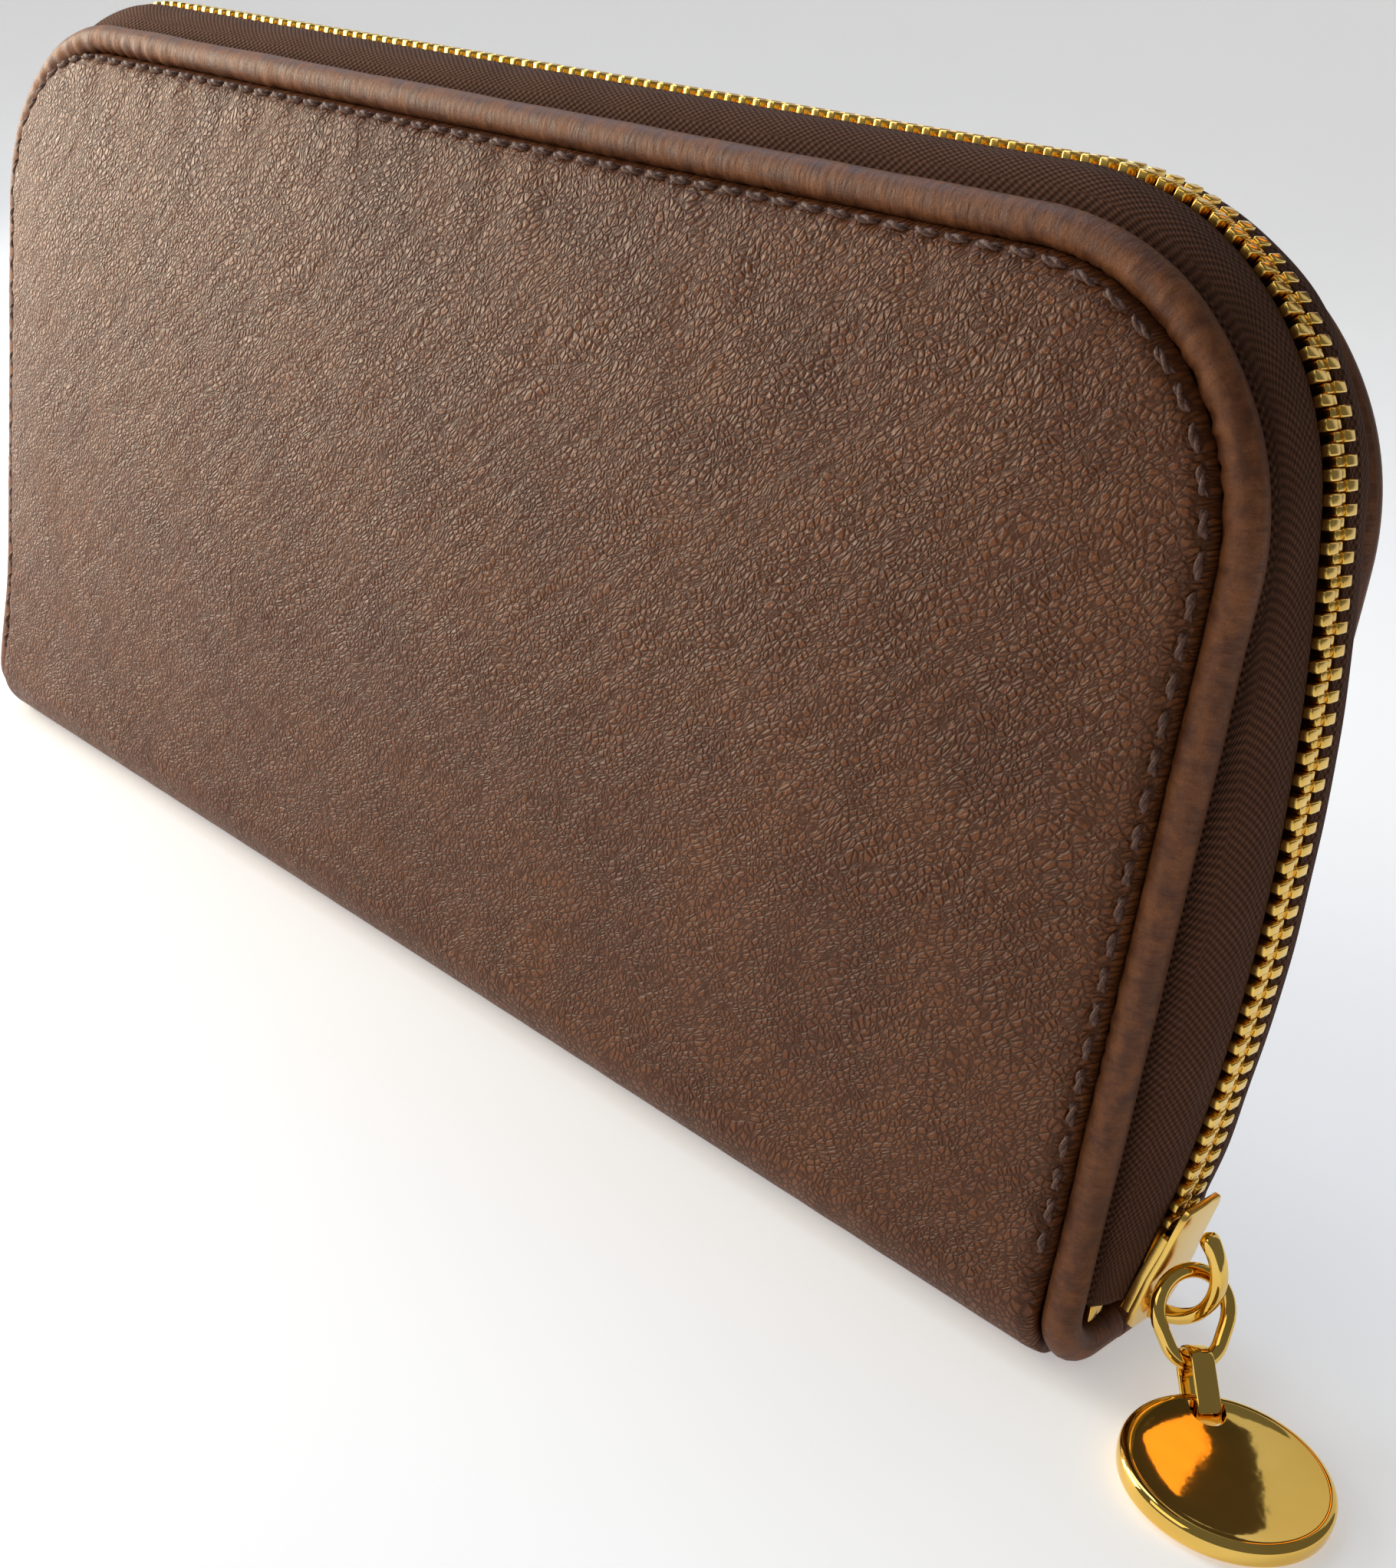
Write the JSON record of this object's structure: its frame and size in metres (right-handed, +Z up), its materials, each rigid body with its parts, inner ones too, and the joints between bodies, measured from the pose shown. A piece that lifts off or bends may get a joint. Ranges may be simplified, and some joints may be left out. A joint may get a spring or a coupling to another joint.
{
  "type": "zip-around wallet",
  "caption": "Long zip-around leather wallet: two padded covers on a spine fold, metal zip over three sides, slider with ring, link and disc pull, coin pocket and card pockets inside.",
  "frame": {"origin": "middle of the flat underside of the spine, on the surface the wallet stands on", "axes": "+X along the length towards the end where the closed zip's slider is, +Y from the front cover to the rear cover, +Z up from the spine"},
  "size_m": [0.2221, 0.0312, 0.1019],
  "materials": {
    "panel_leather": "pebbled, semi-gloss",
    "edge_leather": "smooth, matt",
    "card_leather": "smooth",
    "lining_cloth": "matt",
    "gusset_cloth": "matt",
    "foam": "matt",
    "board": "matt",
    "zip_tape": "woven",
    "thread": "matt",
    "gold_metal": "polished"
  },
  "bodies": {
    "rear": {"rear_cover": "panel_leather", "rear_padding": "foam", "rear_board": "board", "rear_lining": "lining_cloth", "rear_edge_bead": "edge_leather", "rear_stitching": "thread", "rear_zip_tape": "zip_tape", "rear_zip_teeth": "gold_metal", "rear_top_stop": "gold_metal", "rear_card_panel": "card_leather", "rear_card_pockets": "card_leather", "spine_cover": "panel_leather", "spine_lining": "lining_cloth", "left_spine_lip": "edge_leather", "right_spine_lip": "edge_leather", "zip_bottom_stop": "gold_metal", "left_gusset": "gusset_cloth", "right_gusset": "gusset_cloth"},
    "front": {"front_cover": "panel_leather", "front_padding": "foam", "front_board": "board", "front_lining": "lining_cloth", "front_edge_bead": "edge_leather", "front_stitching": "thread", "front_zip_tape": "zip_tape", "front_zip_teeth": "gold_metal", "front_top_stop": "gold_metal", "front_card_panel": "card_leather", "front_card_pockets": "card_leather"},
    "coin_pocket": {"coin_pocket_front": "card_leather", "coin_pocket_rear": "card_leather", "coin_front_tape": "zip_tape", "coin_rear_tape": "zip_tape", "coin_pocket_seam": "lining_cloth", "coin_zip_teeth": "gold_metal"},
    "coin_slider": {"coin_slider_body": "gold_metal"},
    "coin_pull": {"coin_slider_pull": "gold_metal"},
    "slider": {"slider_body": "gold_metal", "slider_bridge": "gold_metal"},
    "pull_ring": {"pull_ring": "gold_metal"},
    "pull_link": {"pull_link": "gold_metal"},
    "pull_disc": {"pull_disc": "gold_metal"}
  },
  "joints": [
    {"name": "cover_open", "type": "hinge", "parent": "rear", "child": "front", "pos_m": [0, -0.0122, 0.00715], "axis": [1, 0, 0], "range_deg": [0, 50], "deforming": ["front_zip_tape", "rear_zip_tape", "front_zip_teeth", "rear_zip_teeth", "left_gusset", "right_gusset"]},
    {"name": "pocket_swing", "type": "hinge", "parent": "rear", "child": "coin_pocket", "pos_m": [0, 0, 0.0025], "axis": [1, 0, 0], "range_deg": [0, 25]},
    {"name": "slider_travel", "type": "hinge", "parent": "rear", "child": "slider", "pos_m": [-0.0804, 0, 0.042], "axis": [0, -1, 0], "range_deg": [0, 19]},
    {"name": "ring_swing", "type": "hinge", "parent": "slider", "child": "pull_ring", "pos_m": [0.10071, 0, 0.01116], "axis": [-0.5299, -0.848, 0], "range_deg": [-8, 75]},
    {"name": "link_swing", "type": "hinge", "parent": "pull_ring", "child": "pull_link", "pos_m": [0.10414, -0.00215, 0.00415], "axis": [-0.5299, -0.848, 0], "range_deg": [-35, 20]},
    {"name": "disc_swing", "type": "hinge", "parent": "pull_link", "child": "pull_disc", "pos_m": [0.10636, -0.00388, 0.0019], "axis": [-0.7071, -0.7071, 0], "range_deg": [-50, 20]},
    {"name": "coin_slider_travel", "type": "slide", "parent": "coin_pocket", "child": "coin_slider", "axis": [-1, 0, 0], "range_m": [0, 0.13]},
    {"name": "coin_pull_swing", "type": "hinge", "parent": "coin_slider", "child": "coin_pull", "pos_m": [0.068, 0, 0.0876], "axis": [0, 1, 0], "range_deg": [0, 165]}
  ],
  "couplings": [
    {"joint": "pocket_swing", "follows": "cover_open", "ratio": 0.5}
  ]
}
